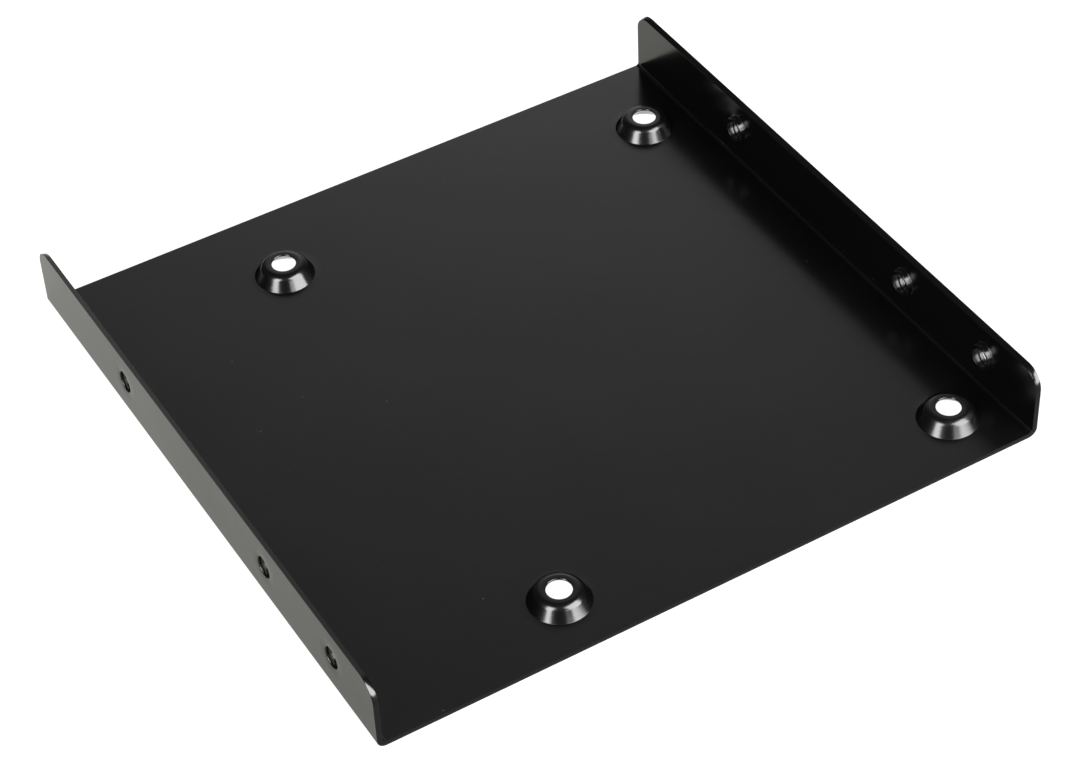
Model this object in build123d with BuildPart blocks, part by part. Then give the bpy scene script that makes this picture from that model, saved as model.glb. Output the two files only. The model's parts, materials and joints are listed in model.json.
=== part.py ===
from build123d import *
from math import isclose, radians, tan
import os

os.makedirs("parts", exist_ok=True)

# Folded sheet, in millimetres. X runs across the flanges, Y along them, Z up from the underside.
bracket_width = 101.6
sheet_thickness = 0.8
bend_inner_radius = 0.5
flange_corner_radius = 3.0
edge_chamfer = 0.08

# Bottom screw pattern of the small drive, and the sheet left around it
drive_pitch_x = 61.72
drive_pitch_y = 76.6
seat_side_margin = 8.5
seat_front_margin = 8.55
seat_rear_margin = 13.85

# Raised seats that hold the drive off the floor
seat_rise = 2.05
seat_foot_margin = 0.1
seat_foot_round = 0.6
seat_crown_margin = 1.37
seat_crown_round = 1.3

# Countersunk screw holes in the seats, entered from the underside
screw_hole_diameter = 3.5
screw_cone_angle = 90
screw_hole_land = 0.35
screw_rim_chamfer = 0.25
screw_mouth_round = 0.8

# Threaded holes in the flanges, drawn inwards as short tapered collars
side_hole_height = 6.35
side_hole_top_margin = 4.65
side_hole_front_margin = 11.1
side_hole_near_pitch = 41.6
side_hole_far_pitch = 60.0
side_hole_diameter = 3.1
side_mouth_chamfer = 0.2
collar_reach = 0.9
collar_end_wall = 0.4
collar_taper = 8
collar_root_chamfer = 0.15
collar_end_chamfer = 0.1

# Places and sizes that follow from those above
half_width = bracket_width / 2
half_length = (seat_front_margin + drive_pitch_y + seat_rear_margin) / 2
flange_height = side_hole_height + side_hole_top_margin
bend_outer_radius = bend_inner_radius + sheet_thickness
drive_centre = (
    half_width - seat_side_margin - drive_pitch_x / 2,
    seat_front_margin + drive_pitch_y / 2 - half_length,
)
seat_top = sheet_thickness + seat_rise
screw_cone_depth = seat_top - screw_hole_land
screw_mouth_diameter = screw_hole_diameter + 2 * screw_cone_depth * tan(radians(screw_cone_angle / 2))
seat_foot_diameter = screw_mouth_diameter + 2 * seat_foot_margin
seat_crown_diameter = screw_hole_diameter + 2 * seat_crown_margin
collar_end_diameter = side_hole_diameter + 2 * collar_end_wall
collar_root_diameter = collar_end_diameter + 2 * collar_reach * tan(radians(collar_taper))
front_hole_y = side_hole_front_margin - half_length
rear_hole_y = front_hole_y + side_hole_far_pitch
side_hole_stations = [front_hole_y, rear_hole_y - side_hole_near_pitch, rear_hole_y]
match_tolerance = 1e-4


def rings(part, diameter, axis, place):
    """Round edges of one diameter that lie in one plane across an axis."""
    circles = part.edges().filter_by(GeomType.CIRCLE)
    alike = circles.filter_by(lambda edge: isclose(2 * edge.radius, diameter, abs_tol=match_tolerance))
    return alike.filter_by_position(axis, place - match_tolerance, place + match_tolerance)


with BuildPart() as bracket:
    # One sheet folded up at both sides
    with BuildSketch(Plane.XZ):
        with BuildLine():
            FilletPolyline(
                (-half_width, flange_height),
                (-half_width, 0),
                (half_width, 0),
                (half_width, flange_height),
                radius=bend_outer_radius,
            )
            offset(amount=sheet_thickness, side=Side.LEFT)
        make_face()
    extrude(amount=half_length, both=True)

    # Rounded upper corners of the flanges
    fillet(bracket.edges().filter_by(Axis.X).group_by(Axis.Z)[-1], radius=flange_corner_radius)

    # Sheared rim, with its sharp edges broken
    rim = bracket.faces().filter_by(Axis.Y) + bracket.faces().group_by(Axis.Z)[-1]
    chamfer(rim.edges(), length=edge_chamfer)

    # Raised seats, with the foot and the crown rounded by the forming tool
    with Locations((*drive_centre, sheet_thickness)):
        with GridLocations(drive_pitch_x, drive_pitch_y, 2, 2):
            Cone(
                seat_foot_diameter / 2,
                seat_crown_diameter / 2,
                seat_rise,
                align=(Align.CENTER, Align.CENTER, Align.MIN),
            )
    fillet(rings(bracket, seat_foot_diameter, Axis.Z, sheet_thickness), radius=seat_foot_round)
    fillet(rings(bracket, seat_crown_diameter, Axis.Z, seat_top), radius=seat_crown_round)

    # Countersunk screw holes from below, so that the screw heads lie flush with the underside
    with Locations(Plane((*drive_centre, 0), z_dir=(0, 0, -1))):
        with GridLocations(drive_pitch_x, drive_pitch_y, 2, 2):
            CounterSinkHole(
                screw_hole_diameter / 2,
                screw_mouth_diameter / 2,
                depth=seat_top,
                counter_sink_angle=screw_cone_angle,
            )
    fillet(rings(bracket, screw_mouth_diameter, Axis.Z, 0), radius=screw_mouth_round)
    chamfer(rings(bracket, screw_hole_diameter, Axis.Z, seat_top), length=screw_rim_chamfer)

    # Threaded side holes, the same in both flanges
    for side in (-1, 1):
        outer_x = side * half_width
        inner_x = side * (half_width - sheet_thickness)
        collar_end_x = inner_x - side * collar_reach
        with Locations(Plane((inner_x, 0, side_hole_height), x_dir=(0, 1, 0), z_dir=(-side, 0, 0))):
            with Locations(*[(station, 0, 0) for station in side_hole_stations]):
                Cone(
                    collar_root_diameter / 2,
                    collar_end_diameter / 2,
                    collar_reach,
                    align=(Align.CENTER, Align.CENTER, Align.MIN),
                )
            with Locations(*[(station, 0, collar_reach) for station in side_hole_stations]):
                Hole(side_hole_diameter / 2, depth=collar_reach + sheet_thickness)
        chamfer(rings(bracket, collar_root_diameter, Axis.X, inner_x), length=collar_root_chamfer)
        chamfer(rings(bracket, collar_end_diameter, Axis.X, collar_end_x), length=collar_end_chamfer)
        chamfer(rings(bracket, side_hole_diameter, Axis.X, outer_x), length=side_mouth_chamfer)

bracket.part.label = "bracket"
export_step(bracket.part, "parts/bracket.step")
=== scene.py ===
import json
import math
import bmesh
import bpy
from mathutils import Euler, Matrix, Vector


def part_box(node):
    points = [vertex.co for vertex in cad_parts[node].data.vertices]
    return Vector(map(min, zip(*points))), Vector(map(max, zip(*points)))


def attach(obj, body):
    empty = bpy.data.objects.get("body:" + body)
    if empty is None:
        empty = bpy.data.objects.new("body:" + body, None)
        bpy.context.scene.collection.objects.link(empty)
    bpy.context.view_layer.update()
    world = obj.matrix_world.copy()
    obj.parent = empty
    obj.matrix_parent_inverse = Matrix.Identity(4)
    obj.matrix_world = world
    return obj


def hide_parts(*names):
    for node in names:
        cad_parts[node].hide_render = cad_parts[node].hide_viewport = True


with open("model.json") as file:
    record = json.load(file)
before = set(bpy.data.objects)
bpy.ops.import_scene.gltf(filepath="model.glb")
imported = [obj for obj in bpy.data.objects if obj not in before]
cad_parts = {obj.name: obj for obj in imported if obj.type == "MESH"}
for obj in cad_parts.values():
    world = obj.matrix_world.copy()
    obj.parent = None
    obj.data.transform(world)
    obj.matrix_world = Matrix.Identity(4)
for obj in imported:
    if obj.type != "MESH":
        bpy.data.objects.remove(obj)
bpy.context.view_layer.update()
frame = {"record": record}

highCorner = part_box("bracket")[1]
mounts = {mount["name"]: mount for mount in frame["record"]["mounts"]}
mm = 0.001
flat = 0.999  # how square a face stands to an axis when it counts as flat


# Small helpers for modelling by hand

def deselectAll():
    if bpy.context.mode != "OBJECT":
        bpy.ops.object.mode_set(mode="OBJECT")
    bpy.ops.object.select_all(action="DESELECT")


def selectOnly(piece):
    deselectAll()
    piece.select_set(True)
    bpy.context.view_layer.objects.active = piece


def startEditing(piece):
    selectOnly(piece)
    bpy.ops.object.mode_set(mode="EDIT")


def pick(piece, kind, test):
    # select the vertices, edges or faces that pass a test, in edit mode
    bpy.ops.mesh.select_mode(type=kind)
    bpy.ops.mesh.select_all(action="DESELECT")
    mesh = bmesh.from_edit_mesh(piece.data)
    items = {"VERT": mesh.verts, "EDGE": mesh.edges, "FACE": mesh.faces}[kind]
    found = [item for item in items if test(item)]
    for item in found:
        item.select_set(True)
    bmesh.update_edit_mesh(piece.data)
    return len(found)


def near(a, b, gap=1e-6):
    return abs(a - b) < gap


def applyModifier(piece, kind, **settings):
    selectOnly(piece)
    bpy.ops.object.modifier_add(type=kind)
    modifier = piece.modifiers[-1]
    for name, value in settings.items():
        setattr(modifier, name, value)
    bpy.ops.object.modifier_apply(modifier=modifier.name)


def joinInto(piece, others):
    deselectAll()
    for other in others:
        other.select_set(True)
    piece.select_set(True)
    bpy.context.view_layer.objects.active = piece
    bpy.ops.object.join()


def turnedProfile(name, corners, turn, steps):
    # a wire is drawn corner by corner in the XZ plane, its corners are rounded,
    # and it is spun about Z; a corner is its radius, height, rounding and steps
    deselectAll()
    first = corners[0]
    bpy.ops.mesh.primitive_plane_add(size=mm, location=(0, 0, 0))
    piece = bpy.context.object
    piece.name = name
    bpy.ops.object.mode_set(mode="EDIT")
    bpy.ops.mesh.select_mode(type="VERT")
    bpy.ops.mesh.select_all(action="SELECT")
    bpy.ops.mesh.merge(type="CENTER")
    bpy.ops.transform.translate(value=(first[0], 0, first[1]))
    for here, there in zip(corners, corners[1:]):
        bpy.ops.mesh.extrude_vertices_move(
            TRANSFORM_OT_translate={"value": (there[0] - here[0], 0, there[1] - here[1])})
    for radius, height, rounding, segments in corners[1:-1]:
        if rounding:
            pick(piece, "VERT", lambda v: near(v.co.x, radius) and near(v.co.z, height))
            bpy.ops.mesh.bevel(offset=rounding, offset_type="OFFSET",
                               segments=segments, affect="VERTICES")
    bpy.ops.mesh.select_all(action="SELECT")
    bpy.ops.mesh.spin(steps=steps, angle=turn, center=(0, 0, 0), axis=(0, 0, 1))
    bpy.ops.mesh.select_all(action="SELECT")
    bpy.ops.mesh.remove_doubles(threshold=1e-7)
    bpy.ops.mesh.normals_make_consistent(inside=False)
    bpy.ops.object.mode_set(mode="OBJECT")
    return piece


def copyPiece(piece, name):
    other = piece.copy()
    other.data = piece.data.copy()
    other.name = name
    bpy.context.scene.collection.objects.link(other)
    return other


def bakePlace(piece):
    selectOnly(piece)
    bpy.ops.object.transform_apply(location=True, rotation=True, scale=True)


# The folded sheet

sheet = {
    "thickness": 0.8 * mm,
    "bendInside": 0.5 * mm,
    "bendSteps": 12,
    "cornerRadius": 3.0 * mm,
    "cornerSteps": 20,
    "edgeRound": 0.04 * mm,
    "edgeSteps": 2,
    "rollOver": 0.38 * mm,
    "sharpAngle": 60,
    "smoothAngle": 35,
}


def makeSheet():
    high = highCorner
    bendOutside = sheet["bendInside"] + sheet["thickness"]
    deselectAll()
    bpy.ops.mesh.primitive_plane_add(size=1, location=(0, 0, 0))
    piece = bpy.context.object
    piece.name = "foldedSheet"
    bpy.ops.object.mode_set(mode="EDIT")
    bpy.ops.mesh.select_all(action="SELECT")
    bpy.ops.transform.resize(value=(2 * high.x, 2 * high.y, 1))

    # both sides folded up
    def isFold(edge):
        a, b = (v.co for v in edge.verts)
        return near(abs(a.x), high.x) and near(a.x, b.x) and near(a.z, 0) and near(b.z, 0)

    pick(piece, "EDGE", isFold)
    bpy.ops.mesh.extrude_edges_move(TRANSFORM_OT_translate={"value": (0, 0, high.z)})
    pick(piece, "EDGE", isFold)
    bpy.ops.mesh.bevel(offset=bendOutside, offset_type="OFFSET",
                       segments=sheet["bendSteps"], affect="EDGES")
    # upper corners of the flanges
    pick(piece, "VERT", lambda v: near(v.co.z, high.z) and near(abs(v.co.y), high.y))
    bpy.ops.mesh.bevel(offset=sheet["cornerRadius"], offset_type="OFFSET",
                       segments=sheet["cornerSteps"], affect="VERTICES")
    pick(piece, "FACE", lambda f: abs(f.normal.z) > flat)
    mesh = bmesh.from_edit_mesh(piece.data)
    facesDown = [f for f in mesh.faces if f.select][0].normal.z < 0
    bpy.ops.object.mode_set(mode="OBJECT")
    applyModifier(piece, "SOLIDIFY", thickness=sheet["thickness"], offset=-1 if facesDown else 1,
                  use_even_offset=True, use_quality_normals=True)
    startEditing(piece)
    bpy.ops.mesh.select_all(action="SELECT")
    bpy.ops.mesh.normals_make_consistent(inside=False)
    # shearing has drawn the inner edge of the flange tops down a little
    shoulder = high.z - sheet["cornerRadius"]
    inside = high.x - sheet["thickness"]
    pick(piece, "VERT", lambda v: near(abs(v.co.x), inside) and v.co.z > shoulder - 1e-6)
    bpy.ops.transform.resize(value=(1, 1, 1 - sheet["rollOver"] / sheet["cornerRadius"]),
                             center_override=(0, 0, shoulder))
    bpy.ops.mesh.select_mode(type="EDGE")
    bpy.ops.mesh.select_all(action="DESELECT")
    bpy.ops.mesh.edges_select_sharp(sharpness=math.radians(sheet["sharpAngle"]))
    bpy.ops.mesh.bevel(offset=sheet["edgeRound"], offset_type="OFFSET",
                       segments=sheet["edgeSteps"], affect="EDGES")
    bpy.ops.object.mode_set(mode="OBJECT")
    print("sheet folded", len(piece.data.polygons), "faces")
    return piece


bracket = makeSheet()


# Raised seats with countersunk holes

seat = {
    "reach": 5.6 * mm,
    "foot": 4.35 * mm,
    "footRound": 0.05 * mm,
    "crown": 3.12 * mm,
    "crownRound": 0.735 * mm,
    "land": 0.24 * mm,
    "landRound": 0.04 * mm,
    "rimRound": 0.14 * mm,
    "mouth": 4.25 * mm,
    "mouthRound": 0.33 * mm,
    "steps": 96,
}


def seatPlaces():
    mount = mounts["drive_seats"]
    x, y = mount["pos_m"][:2]
    dx = mount["dims"]["spacing_x_mm"] * mm / 2
    dy = mount["dims"]["spacing_y_mm"] * mm / 2
    return [Vector((x + sx * dx, y + sy * dy, 0)) for sx in (-1, 1) for sy in (-1, 1)]


def makeSeat():
    hole = mounts["drive_seats"]["dims"]["hole_r_mm"] * mm
    top = mounts["drive_seats"]["pos_m"][2]
    corners = [
        (seat["reach"], sheet["thickness"], 0, 0),
        (seat["foot"], sheet["thickness"], seat["footRound"], 8),
        (seat["crown"], top, seat["crownRound"], 14),
        (hole, top, seat["rimRound"], 6),
        (hole, top - seat["land"], seat["landRound"], 3),
        (seat["mouth"], 0, seat["mouthRound"], 8),
        (seat["reach"], 0, 0, 0),
    ]
    return turnedProfile("seat", corners, 2 * math.pi, seat["steps"])


# Threaded side holes, drawn inwards as collars

collar = {
    "reach": 3.2 * mm,
    "root": 2.0765 * mm,
    "end": 1.95 * mm,
    "depth": 1.7 * mm,
    "mouthRound": 0.2 * mm,
    "boreEndRound": 0.08 * mm,
    "endRound": 0.1 * mm,
    "rootRound": 0.15 * mm,
    "steps": 72,
    "apart": 0.1 * mm,  # places nearer than this are one hole, shared by two mounts
}
thread = {
    "pitch": 0.794 * mm,
    "ridge": 0.2 * mm,
    "middle": 1.5 * mm,
    "start": 0.42 * mm,
    "turns": 1.2,
    "steps": 60,
}


def collarPlaces():
    places = []
    for name in ("right_far_pair", "right_near_pair", "left_far_pair", "left_near_pair"):
        x, y, z = mounts[name]["pos_m"]
        half = mounts[name]["dims"]["spacing_x_mm"] * mm / 2
        for place in (Vector((x, y - half, z)), Vector((x, y + half, z))):
            if all((place - other).length > collar["apart"] for other in places):
                places.append(place)
    return places


def makeCollar():
    hole = mounts["right_far_pair"]["dims"]["hole_r_mm"] * mm
    corners = [
        (collar["reach"], 0, 0, 0),
        (hole, 0, collar["mouthRound"], 5),
        (hole, collar["depth"], collar["boreEndRound"], 3),
        (collar["end"], collar["depth"], collar["endRound"], 4),
        (collar["root"], sheet["thickness"], collar["rootRound"], 5),
        (collar["reach"], sheet["thickness"], 0, 0),
    ]
    return turnedProfile("collar", corners, 2 * math.pi, collar["steps"])


def makeThread():
    # a three-cornered wire, apex to the axis, wound up the bore
    deselectAll()
    bpy.ops.mesh.primitive_circle_add(vertices=3, radius=thread["ridge"], fill_type="NOTHING",
                                      location=(thread["middle"], 0, thread["start"]),
                                      rotation=(0, math.pi / 2, math.pi / 2))
    piece = bpy.context.object
    piece.name = "thread"
    bakePlace(piece)
    steps = round(thread["steps"] * thread["turns"])
    applyModifier(piece, "SCREW", axis="Z", angle=2 * math.pi * thread["turns"],
                  screw_offset=thread["pitch"] * thread["turns"], steps=steps, render_steps=steps)
    bpy.ops.object.mode_set(mode="EDIT")
    bpy.ops.mesh.select_mode(type="EDGE")
    bpy.ops.mesh.select_all(action="DESELECT")
    bpy.ops.mesh.select_non_manifold()
    bpy.ops.mesh.fill_holes(sides=3)
    bpy.ops.mesh.select_all(action="SELECT")
    bpy.ops.mesh.normals_make_consistent(inside=False)
    bpy.ops.object.mode_set(mode="OBJECT")
    return piece


def inward(place):
    # turns the collar's own axis from +Z to the way into the bracket
    turn = math.copysign(math.pi / 2, -place.x)
    return Matrix.Translation(place) @ Matrix.Rotation(turn, 4, "Y")


opening = {"depth": 4 * mm, "within": 0.05 * mm, "weld": 0.002 * mm, "lean": 0.01}


def cutRound(piece, cutters):
    joinInto(cutters[0], cutters[1:])
    applyModifier(piece, "BOOLEAN", object=cutters[0], operation="DIFFERENCE", solver="EXACT")
    bpy.data.objects.remove(cutters[0])


def layOutLines():
    # lines through the middle of each hole, so that a round cut meets them at its own corners
    floorLines, flangeLines = set(), set()
    for place in seatPlaces():
        floorLines |= {((place.x, 0, 0), (1, 0, 0)), ((0, place.y, 0), (0, 1, 0))}
    for place in collarPlaces():
        flangeLines |= {((0, place.y, 0), (0, 1, 0)), ((0, 0, place.z), (0, 0, 1))}
    startEditing(bracket)
    for spot, normal in sorted(floorLines):
        pick(bracket, "FACE", lambda f: abs(f.normal.z) > flat)
        bpy.ops.mesh.bisect(plane_co=spot, plane_no=normal)
    for spot, normal in sorted(flangeLines):
        pick(bracket, "FACE", lambda f: abs(f.normal.x) > flat)
        bpy.ops.mesh.bisect(plane_co=spot, plane_no=normal)
    bpy.ops.object.mode_set(mode="OBJECT")
    print("lines laid out,", len(bracket.data.polygons), "faces")


def openForSeatsAndCollars():
    cutters = []
    for place in seatPlaces():
        deselectAll()
        bpy.ops.mesh.primitive_cylinder_add(vertices=seat["steps"], radius=seat["reach"],
                                            depth=opening["depth"], location=place)
        cutters.append(bpy.context.object)
        bakePlace(cutters[-1])
    for place in collarPlaces():
        deselectAll()
        bpy.ops.mesh.primitive_cylinder_add(vertices=collar["steps"], radius=collar["reach"],
                                            depth=opening["depth"], location=place,
                                            rotation=(0, math.pi / 2, 0))
        cutters.append(bpy.context.object)
        bakePlace(cutters[-1])
    cutRound(bracket, cutters)
    # the cut walls go, because the seats and collars bring their own
    seats, collars = seatPlaces(), collarPlaces()

    def isCutWall(face):
        middle = face.calc_center_median()
        upright = abs(face.normal.z) < opening["lean"]
        across = abs(face.normal.x) < opening["lean"]
        for place in seats:
            away = (middle - place).xy.length
            if upright and near(away, seat["reach"], opening["within"]):
                return True
        for place in collars:
            away = (middle - place).yz.length
            if (across and abs(middle.x - place.x) < opening["depth"] / 2
                    and near(away, collar["reach"], opening["within"])):
                return True
        return False

    startEditing(bracket)
    print("cut walls opened", pick(bracket, "FACE", isCutWall))
    bpy.ops.mesh.delete(type="FACE")
    bpy.ops.object.mode_set(mode="OBJECT")


def addSeatsAndCollars():
    firstSeat, firstCollar = makeSeat(), makeCollar()
    pieces = []
    for place in seatPlaces():
        piece = copyPiece(firstSeat, "seatCopy")
        piece.matrix_world = Matrix.Translation(place)
        pieces.append(piece)
    for place in collarPlaces():
        piece = copyPiece(firstCollar, "collarCopy")
        piece.matrix_world = inward(place)
        pieces.append(piece)
    for piece in pieces:
        bakePlace(piece)
    bpy.data.objects.remove(firstSeat)
    bpy.data.objects.remove(firstCollar)
    joinInto(bracket, pieces)
    bpy.ops.object.mode_set(mode="EDIT")
    bpy.ops.mesh.select_all(action="SELECT")
    bpy.ops.mesh.remove_doubles(threshold=opening["weld"])
    bpy.ops.mesh.normals_make_consistent(inside=False)
    bpy.ops.mesh.select_mode(type="EDGE")
    bpy.ops.mesh.select_all(action="DESELECT")
    bpy.ops.mesh.select_non_manifold()
    loose = sum(e.select for e in bmesh.from_edit_mesh(bracket.data).edges)
    bpy.ops.object.mode_set(mode="OBJECT")
    print("seats and collars joined,", loose, "open edges,", len(bracket.data.polygons), "faces")


def addThreads():
    firstThread = makeThread()
    pieces = []
    for place in collarPlaces():
        piece = copyPiece(firstThread, "threadCopy")
        piece.matrix_world = inward(place)
        bakePlace(piece)
        pieces.append(piece)
    bpy.data.objects.remove(firstThread)
    joinInto(bracket, pieces)
    print("threads wound,", len(bracket.data.polygons), "faces")


layOutLines()
openForSeatsAndCollars()
addSeatsAndCollars()
addThreads()
selectOnly(bracket)
bpy.ops.object.shade_smooth_by_angle(angle=math.radians(sheet["smoothAngle"]))
applyModifier(bracket, "WEIGHTED_NORMAL", mode="FACE_AREA", weight=100, keep_sharp=True)
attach(bracket, "root")
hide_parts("bracket")


# Black paint, with coats of its own on the flat floor and inside the threaded holes

film = {
    "colour": (0.0012, 0.0012, 0.0012, 1),
    "dust": (0.022, 0.022, 0.021, 1),
    "dustScale": 190,
    "dustSize": (0.03, 0.012),
    "smudgeScale": 55,
    "smudgeDetail": 3,
    "smudgeRange": (0.3, 0.7),
    "peelScale": 520,
    "peelDetail": 1,
}
paint = {"roughness": (0.17, 0.24), "ior": 1.5, "dusty": 1.0, "peelHeight": 0.006 * mm}
platePaint = {**paint, "fade": (0.42, 0.52), "gloss": (0.5, 0), "within": 0.02 * mm}
borePaint = {
    "roughness": (0.22, 0.3),
    "ior": 1.4,
    "dusty": 0.4,
    "peelHeight": 0.006 * mm,
    "within": 0.03 * mm,
}


def setRange(node, side, values):
    node.inputs[side + " Min"].default_value, node.inputs[side + " Max"].default_value = values


def makeFilm():
    group = bpy.data.node_groups.new("paintFilm", "ShaderNodeTree")
    group.interface.new_socket("Dust", in_out="INPUT", socket_type="NodeSocketFloat")
    group.interface.new_socket("Peel Height", in_out="INPUT", socket_type="NodeSocketFloat")
    group.interface.new_socket("Colour", in_out="OUTPUT", socket_type="NodeSocketColor")
    group.interface.new_socket("Smudge", in_out="OUTPUT", socket_type="NodeSocketFloat")
    group.interface.new_socket("Normal", in_out="OUTPUT", socket_type="NodeSocketVector")
    nodes, links = group.nodes, group.links
    given = nodes.new("NodeGroupInput")
    result = nodes.new("NodeGroupOutput")
    place = nodes.new("ShaderNodeTexCoord")

    # a few specks of dust on the film
    specks = nodes.new("ShaderNodeTexVoronoi")
    specks.inputs["Scale"].default_value = film["dustScale"]
    dust = nodes.new("ShaderNodeMapRange")
    setRange(dust, "From", film["dustSize"])
    tint = nodes.new("ShaderNodeMix")
    tint.data_type = "RGBA"
    tint.inputs["A"].default_value = film["colour"]
    tint.inputs["B"].default_value = film["dust"]
    links.new(place.outputs["Object"], specks.inputs["Vector"])
    links.new(specks.outputs["Distance"], dust.inputs["Value"])
    links.new(given.outputs["Dust"], dust.inputs["To Max"])
    links.new(dust.outputs["Result"], tint.inputs["Factor"])
    links.new(tint.outputs["Result"], result.inputs["Colour"])

    # gloss that wanders a little from place to place
    smudge = nodes.new("ShaderNodeTexNoise")
    smudge.inputs["Scale"].default_value = film["smudgeScale"]
    smudge.inputs["Detail"].default_value = film["smudgeDetail"]
    links.new(place.outputs["Object"], smudge.inputs["Vector"])
    links.new(smudge.outputs["Fac"], result.inputs["Smudge"])

    # faint orange peel
    peel = nodes.new("ShaderNodeTexNoise")
    peel.inputs["Scale"].default_value = film["peelScale"]
    peel.inputs["Detail"].default_value = film["peelDetail"]
    bump = nodes.new("ShaderNodeBump")
    links.new(place.outputs["Object"], peel.inputs["Vector"])
    links.new(peel.outputs["Fac"], bump.inputs["Height"])
    links.new(given.outputs["Peel Height"], bump.inputs["Distance"])
    links.new(bump.outputs["Normal"], result.inputs["Normal"])
    return group


def makePaint(name, group, settings):
    material = bpy.data.materials.new(name)
    material.use_nodes = True
    nodes, links = material.node_tree.nodes, material.node_tree.links
    shader = nodes["Principled BSDF"]
    shader.inputs["IOR"].default_value = settings["ior"]
    coat = nodes.new("ShaderNodeGroup")
    coat.node_tree = group
    coat.inputs["Dust"].default_value = settings["dusty"]
    coat.inputs["Peel Height"].default_value = settings["peelHeight"]
    gloss = nodes.new("ShaderNodeMapRange")
    setRange(gloss, "From", film["smudgeRange"])
    setRange(gloss, "To", settings["roughness"])
    links.new(coat.outputs["Colour"], shader.inputs["Base Color"])
    links.new(coat.outputs["Smudge"], gloss.inputs["Value"])
    links.new(gloss.outputs["Result"], shader.inputs["Roughness"])
    links.new(coat.outputs["Normal"], shader.inputs["Normal"])
    if "fade" in settings:
        # the gloss goes at a low angle, so that the floor doesn't turn white under a lamp
        angle = nodes.new("ShaderNodeLayerWeight")
        angle.inputs["Blend"].default_value = 0.5
        fade = nodes.new("ShaderNodeMapRange")
        setRange(fade, "From", settings["fade"])
        setRange(fade, "To", settings["gloss"])
        links.new(angle.outputs["Facing"], fade.inputs["Value"])
        links.new(fade.outputs["Result"], shader.inputs["Specular IOR Level"])
    return material


def paintBracket():
    group = makeFilm()
    bracket.data.materials.clear()
    coats = {"blackPaint": paint, "borePaint": borePaint, "platePaint": platePaint}
    for name, settings in coats.items():
        bracket.data.materials.append(makePaint(name, group, settings))
    places = collarPlaces()
    bore = mounts["right_far_pair"]["dims"]["hole_r_mm"] * mm

    def isBore(face):
        middle = face.calc_center_median()
        return any(abs(middle.x - place.x) < opening["depth"] / 2
                   and near((middle - place).yz.length, bore, borePaint["within"])
                   for place in places)

    def isPlate(face):
        height = face.calc_center_median().z
        return face.normal.z > flat and near(height, sheet["thickness"], platePaint["within"])

    startEditing(bracket)
    for slot, test in ((1, isBore), (2, isPlate)):
        print("coat", slot, "on", pick(bracket, "FACE", test), "faces")
        bracket.active_material_index = slot
        bpy.ops.object.material_slot_assign()
    bpy.ops.object.mode_set(mode="OBJECT")
    print("bracket painted")


paintBracket()


# Floor, light and camera

studio = {
    "floorSize": 3.0,
    "floorDrop": 0.05 * mm,
    "floorRoughness": 0.9,
    "floorGloss": 0.1,
    "grainScale": 30,
    "paper": ((0.055, 0.055, 0.055, 1), (0.065, 0.065, 0.065, 1)),
    # painted light and shade on the table's glow, seen only in reflections: colour, middle level,
    # slope to the back, least level, and painted shade close in front of the part over the given
    # reach
    "paintedTableLight": (0.985, 1.0, 0.91, 1),
    "paintedLightMiddle": 0.605,
    "paintedLightSlope": (0, 2.05, 0),
    "paintedLightLeast": 0.12,
    "frontShade": 0.2,
    "frontReach": 0.3 * mm,
}

# degrees away from the middle of the glow, and how bright the room is there
glow = {
    "towards": (0.463, 0.770, 0.438),
    "steps": [(0, 1.38), (6, 1.1), (12, 0.66), (14, 0.53), (18, 0.4), (22, 0.3),
              (27, 0.2), (33, 0.08), (45, 0.04), (60, 0.035), (89, 0.035)],
}


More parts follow.
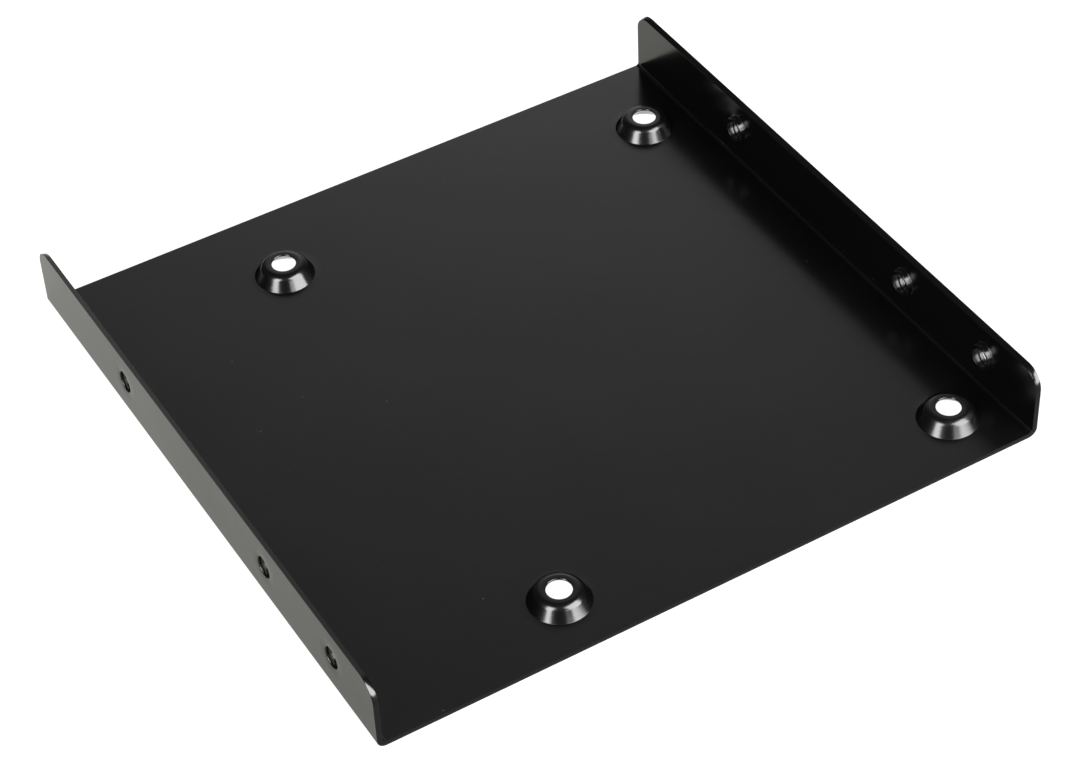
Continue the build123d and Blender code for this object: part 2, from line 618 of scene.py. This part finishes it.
def makeFloor():
    deselectAll()
    bpy.ops.mesh.primitive_plane_add(size=studio["floorSize"],
                                     location=(0, 0, -studio["floorDrop"]))
    floor = bpy.context.object
    floor.name = "tableTop"
    material = bpy.data.materials.new("paleTable")
    material.use_nodes = True
    nodes, links = material.node_tree.nodes, material.node_tree.links
    shader = nodes["Principled BSDF"]
    shader.inputs["Roughness"].default_value = studio["floorRoughness"]
    shader.inputs["Specular IOR Level"].default_value = studio["floorGloss"]
    shader.inputs["Emission Strength"].default_value = 1
    place = nodes.new("ShaderNodeTexCoord")
    grain = nodes.new("ShaderNodeTexNoise")
    grain.inputs["Scale"].default_value = studio["grainScale"]
    paper = nodes.new("ShaderNodeMix")
    paper.data_type = "RGBA"
    paper.inputs["A"].default_value, paper.inputs["B"].default_value = studio["paper"]
    links.new(place.outputs["Object"], grain.inputs["Vector"])
    links.new(grain.outputs["Fac"], paper.inputs["Factor"])
    links.new(paper.outputs["Result"], shader.inputs["Base Color"])
    # white to the camera; in the paint's reflections the table glows with painted light and
    # shade, dimmer, and lighter to the back
    slope = nodes.new("ShaderNodeVectorMath")
    slope.operation = "DOT_PRODUCT"
    slope.inputs[1].default_value = studio["paintedLightSlope"]
    level = nodes.new("ShaderNodeMath")
    level.operation = "ADD"
    level.inputs[1].default_value = studio["paintedLightMiddle"]
    hold = nodes.new("ShaderNodeClamp")
    hold.inputs["Min"].default_value = studio["paintedLightLeast"]
    front = nodes.new("ShaderNodeMapRange")
    setRange(front, "From", (-highCorner.y - studio["frontReach"], -highCorner.y))
    setRange(front, "To", (studio["frontShade"], 1))
    shaded = nodes.new("ShaderNodeMath")
    shaded.operation = "MULTIPLY"
    paintedTableLight = nodes.new("ShaderNodeMix")
    paintedTableLight.data_type = "RGBA"
    paintedTableLight.inputs["A"].default_value = (0, 0, 0, 1)
    paintedTableLight.inputs["B"].default_value = studio["paintedTableLight"]
    # painted light: white as well where the part covers the table and would shade it, so that the
    # screw holes stay white down to their edges
    apart = nodes.new("ShaderNodeSeparateXYZ")
    links.new(place.outputs["Object"], apart.inputs["Vector"])
    inside = []
    for axis, reach in zip("XY", highCorner):
        band = nodes.new("ShaderNodeMath")
        band.operation = "COMPARE"
        band.inputs[1].default_value = 0
        band.inputs[2].default_value = reach
        links.new(apart.outputs[axis], band.inputs[0])
        inside.append(band)
    paintedLightUnderPart = nodes.new("ShaderNodeMath")
    paintedLightUnderPart.operation = "MULTIPLY"
    ray = nodes.new("ShaderNodeLightPath")
    white = nodes.new("ShaderNodeMath")
    white.operation = "MAXIMUM"
    for number, band in enumerate(inside):
        links.new(band.outputs["Value"], paintedLightUnderPart.inputs[number])
    links.new(paintedLightUnderPart.outputs["Value"], white.inputs[0])
    links.new(ray.outputs["Is Camera Ray"], white.inputs[1])
    seen = nodes.new("ShaderNodeMix")
    seen.data_type = "RGBA"
    seen.inputs["B"].default_value = (1, 1, 1, 1)
    links.new(place.outputs["Object"], slope.inputs[0])
    links.new(slope.outputs["Value"], level.inputs[0])
    links.new(level.outputs["Value"], hold.inputs["Value"])
    # painted shade: darker again close in front of the part, where its contact shadow would fall
    links.new(apart.outputs["Y"], front.inputs["Value"])
    links.new(hold.outputs["Result"], shaded.inputs[0])
    links.new(front.outputs["Result"], shaded.inputs[1])
    links.new(shaded.outputs["Value"], paintedTableLight.inputs["Factor"])
    links.new(paintedTableLight.outputs["Result"], seen.inputs["A"])
    links.new(white.outputs["Value"], seen.inputs["Factor"])
    links.new(seen.outputs["Result"], shader.inputs["Emission Color"])
    # clear from below, so that the underside can be looked at
    facing = nodes.new("ShaderNodeNewGeometry")
    above = nodes.new("ShaderNodeMath")
    above.operation = "SUBTRACT"
    above.inputs[0].default_value = 1
    links.new(facing.outputs["Backfacing"], above.inputs[1])
    links.new(above.outputs["Value"], shader.inputs["Alpha"])
    floor.data.materials.append(material)


def makeWorld():
    # dim room with one wide soft glow behind the part, and white where the camera looks past it
    world = bpy.data.worlds.new("studio")
    bpy.context.scene.world = world
    world.use_nodes = True
    nodes, links = world.node_tree.nodes, world.node_tree.links
    background = nodes["Background"]
    place = nodes.new("ShaderNodeTexCoord")
    closeness = nodes.new("ShaderNodeVectorMath")
    closeness.operation = "DOT_PRODUCT"
    closeness.inputs[1].default_value = Vector(glow["towards"]).normalized()
    ramp = nodes.new("ShaderNodeValToRGB")
    ray = nodes.new("ShaderNodeLightPath")
    mix = nodes.new("ShaderNodeMix")
    mix.data_type = "RGBA"
    mix.inputs["B"].default_value = (1, 1, 1, 1)
    elements = ramp.color_ramp.elements
    while len(elements) < len(glow["steps"]):
        elements.new(0.5)
    for element, (degrees, level) in zip(elements, sorted(glow["steps"], reverse=True)):
        element.position = math.cos(math.radians(degrees))
        element.color = (level, level, level, 1)
    links.new(place.outputs["Generated"], closeness.inputs[0])
    links.new(closeness.outputs["Value"], ramp.inputs["Fac"])
    links.new(ramp.outputs["Color"], mix.inputs["A"])
    links.new(ray.outputs["Is Camera Ray"], mix.inputs["Factor"])
    links.new(mix.outputs["Result"], background.inputs["Color"])


# which way each lamp stands, how far off, how wide and high, and its power
lamps = {
    "leftSoftbox": {
        "towards": (-0.803, -0.292, 0.520),
        "distance": 0.8,
        "size": (0.31, 0.77),
        "power": 13.2,
    },
    "rightSoftbox": {
        "towards": (0.435, -0.682, 0.588),
        "distance": 0.8,
        "size": (0.66, 0.85),
        "power": 27.5,
    },
    "rightEdge": {
        "towards": (0, -0.919, 0.394),
        "distance": 0.8,
        "size": (0.24, 0.16),
        "power": 0.98,
    },
}


def addSoftbox(name, settings):
    place = Vector(settings["towards"]).normalized() * settings["distance"]
    light = bpy.data.lights.new(name, "AREA")
    light.shape = "RECTANGLE"
    light.size, light.size_y = settings["size"]
    light.energy = settings["power"]
    lamp = bpy.data.objects.new(name, light)
    aim = place.to_track_quat("Z", "Y").to_matrix().to_4x4()
    lamp.matrix_world = Matrix.Translation(place) @ aim
    bpy.context.scene.collection.objects.link(lamp)


# fitted to the straight edges and holes in the photograph
photoCamera = {
    "sensorWidth": 36,
    "lens": 98.148,
    "clipStart": 0.01,
    "place": (-0.145599, -0.265864, 0.278767),
    "turn": (46.8702, 2.1348, -31.0493),  # degrees about X, Y and Z
}


def makeCamera():
    data = bpy.data.cameras.new("photoCamera")
    data.sensor_width = photoCamera["sensorWidth"]
    data.lens = photoCamera["lens"]
    data.clip_start = photoCamera["clipStart"]
    camera = bpy.data.objects.new("photoCamera", data)
    turn = Euler([math.radians(angle) for angle in photoCamera["turn"]]).to_matrix().to_4x4()
    camera.matrix_world = Matrix.Translation(photoCamera["place"]) @ turn
    bpy.context.scene.collection.objects.link(camera)
    bpy.context.scene.camera = camera


makeFloor()
print("floor laid")
makeWorld()
for name, settings in lamps.items():
    addSoftbox(name, settings)
print("room lit")
makeCamera()
bpy.context.scene.view_settings.view_transform = "Standard"
print("camera placed")
